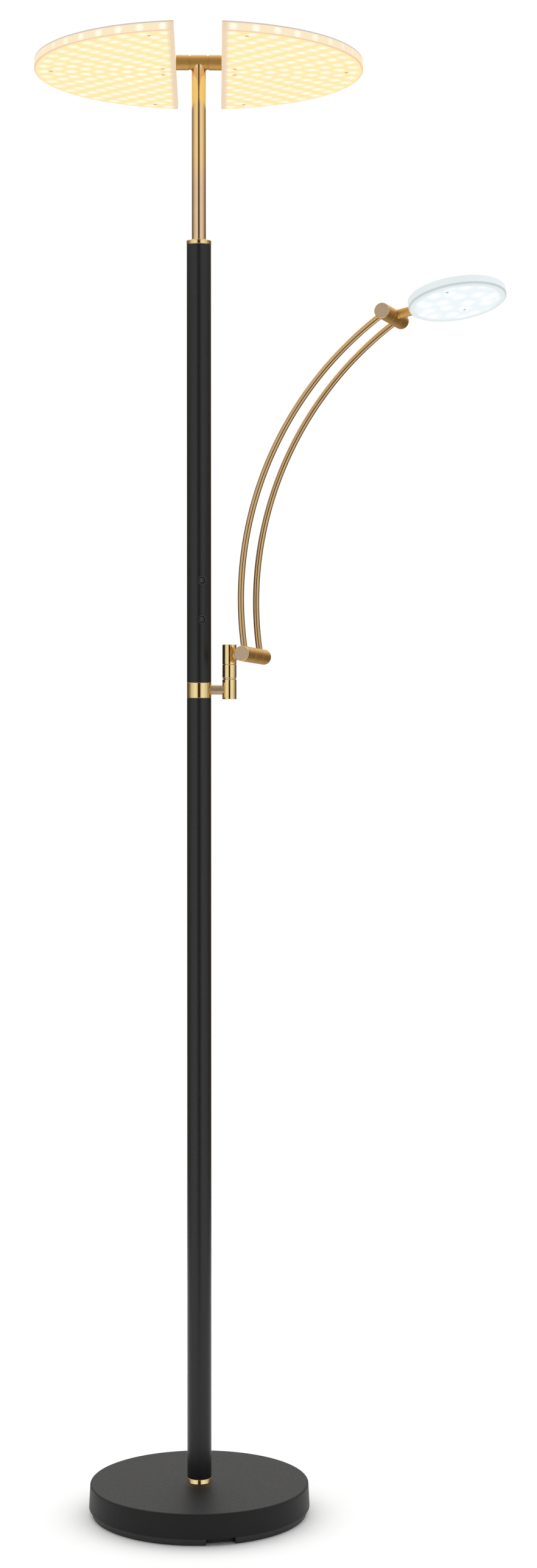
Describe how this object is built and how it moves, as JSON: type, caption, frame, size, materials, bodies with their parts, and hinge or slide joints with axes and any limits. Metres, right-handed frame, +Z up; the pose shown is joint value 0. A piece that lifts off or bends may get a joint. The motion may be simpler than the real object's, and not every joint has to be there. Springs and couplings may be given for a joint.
{
  "type": "floor lamp",
  "caption": "Torchiere floor lamp with two tilting half-disc light panels on a tee and a hinged reading arm with a round head on a slim pole and round base.",
  "frame": {"origin": "centre of the base on the floor", "axes": "+Z up along the pole, +X to the right towards the arm's barrel, -Y to the front where the dimmer buttons are"},
  "size_m": [0.5716, 0.3996, 1.7994],
  "materials": {
    "black_satin_paint": "satin black powder coat",
    "black_textured_paint": "fine textured black powder coat",
    "black_plastic": "moulded black",
    "cast_iron": "raw casting",
    "felt": "felt",
    "driver_plastic": "moulded",
    "rubber": "matt",
    "zinc_steel": "zinc plated",
    "polished_brass": "polished and lacquered",
    "satin_brass": "satin antique",
    "dark_nylon": "moulded nylon",
    "warm_diffuser": "frosted acrylic, lit warm white",
    "cool_diffuser": "frosted acrylic, lit neutral white",
    "led_board": "white solder mask"
  },
  "bodies": {
    "stand": {"base_cover": "black_textured_paint", "foot_ring": "black_plastic", "ring_screws": "zinc_steel", "base_weight": "cast_iron", "bottom_pad": "felt", "led_driver": "driver_plastic", "cable_grommet": "rubber", "pole_stud": "zinc_steel", "stud_fixings": "zinc_steel", "base_collar": "polished_brass", "foot_plug": "zinc_steel", "lower_tube": "black_satin_paint", "mid_plugs": "zinc_steel", "mid_nipple": "zinc_steel", "mid_collar": "polished_brass", "upper_tube": "black_satin_paint", "top_plug": "zinc_steel", "top_collar": "polished_brass", "stem_tube": "polished_brass", "dimmer_bezels": "black_satin_paint", "dimmer_switches": "dark_nylon", "t_fitting": "satin_brass", "t_washers": "satin_brass", "t_axle": "zinc_steel", "arm_stub": "satin_brass", "barrel_lower": "polished_brass", "barrel_washer": "polished_brass", "swivel_bolt": "zinc_steel"},
    "left_panel": {"left_t_end": "satin_brass", "left_panel_bracket": "zinc_steel", "left_lower_diffuser": "warm_diffuser", "left_upper_cover": "warm_diffuser", "left_led_board": "led_board", "left_panel_screws": "zinc_steel"},
    "right_panel": {"right_t_end": "satin_brass", "right_panel_bracket": "zinc_steel", "right_lower_diffuser": "warm_diffuser", "right_upper_cover": "warm_diffuser", "right_led_board": "led_board", "right_panel_screws": "zinc_steel"},
    "arm_swivel": {"barrel_middle": "polished_brass", "barrel_upper": "polished_brass", "knuckle_stub": "satin_brass", "lower_knuckle_middle": "satin_brass"},
    "arm": {"lower_knuckle_front": "satin_brass", "lower_knuckle_rear": "satin_brass", "knuckle_pins": "zinc_steel", "knuckle_washers": "dark_nylon", "rod_front": "polished_brass", "rod_rear": "polished_brass", "upper_knuckle_front": "satin_brass", "upper_knuckle_rear": "satin_brass"},
    "head_knuckle": {"upper_knuckle_middle": "satin_brass"},
    "reading_head": {"reading_stem": "satin_brass", "reading_cover": "cool_diffuser", "reading_diffuser": "cool_diffuser", "reading_led_board": "led_board", "reading_screws": "zinc_steel"},
    "lower_button": {"lower_button": "black_satin_paint"},
    "upper_button": {"upper_button": "black_satin_paint"}
  },
  "joints": [
    {"name": "left_panel_tilt", "type": "hinge", "parent": "stand", "child": "left_panel", "pos_m": [-0.028, 0, 1.7901], "axis": [1, 0, 0], "range_deg": [-90, 90]},
    {"name": "right_panel_tilt", "type": "hinge", "parent": "stand", "child": "right_panel", "pos_m": [0.028, 0, 1.7901], "axis": [1, 0, 0], "range_deg": [-90, 90]},
    {"name": "arm_turn", "type": "hinge", "parent": "stand", "child": "arm_swivel", "pos_m": [0.0374, 0, 1.0425], "axis": [0, 0, 1], "range_deg": [-65, 110]},
    {"name": "arm_lower", "type": "hinge", "parent": "arm_swivel", "child": "arm", "pos_m": [0.06618, -0.01151, 1.062], "axis": [0.3708, 0.9271, -0.0541], "range_deg": [-4, 75]},
    {"name": "reading_head_tilt", "type": "hinge", "parent": "arm", "child": "head_knuckle", "pos_m": [0.23389, -0.05462, 1.47293], "axis": [0.3708, 0.9271, -0.0541], "range_deg": [-80, 90]},
    {"name": "reading_head_twist", "type": "hinge", "parent": "head_knuckle", "child": "reading_head", "pos_m": [0.25214, -0.06168, 1.47709], "axis": [0.9124, -0.3528, 0.2076], "range_deg": [-80, 95]},
    {"name": "lower_button_press", "type": "slide", "parent": "stand", "child": "lower_button", "axis": [-0.225, 0.9744, 0], "range_m": [0, 0.0012], "stiffness_N_per_m": 400, "springref_m": -0.002},
    {"name": "upper_button_press", "type": "slide", "parent": "stand", "child": "upper_button", "axis": [-0.225, 0.9744, 0], "range_m": [0, 0.0012], "stiffness_N_per_m": 400, "springref_m": -0.002}
  ]
}
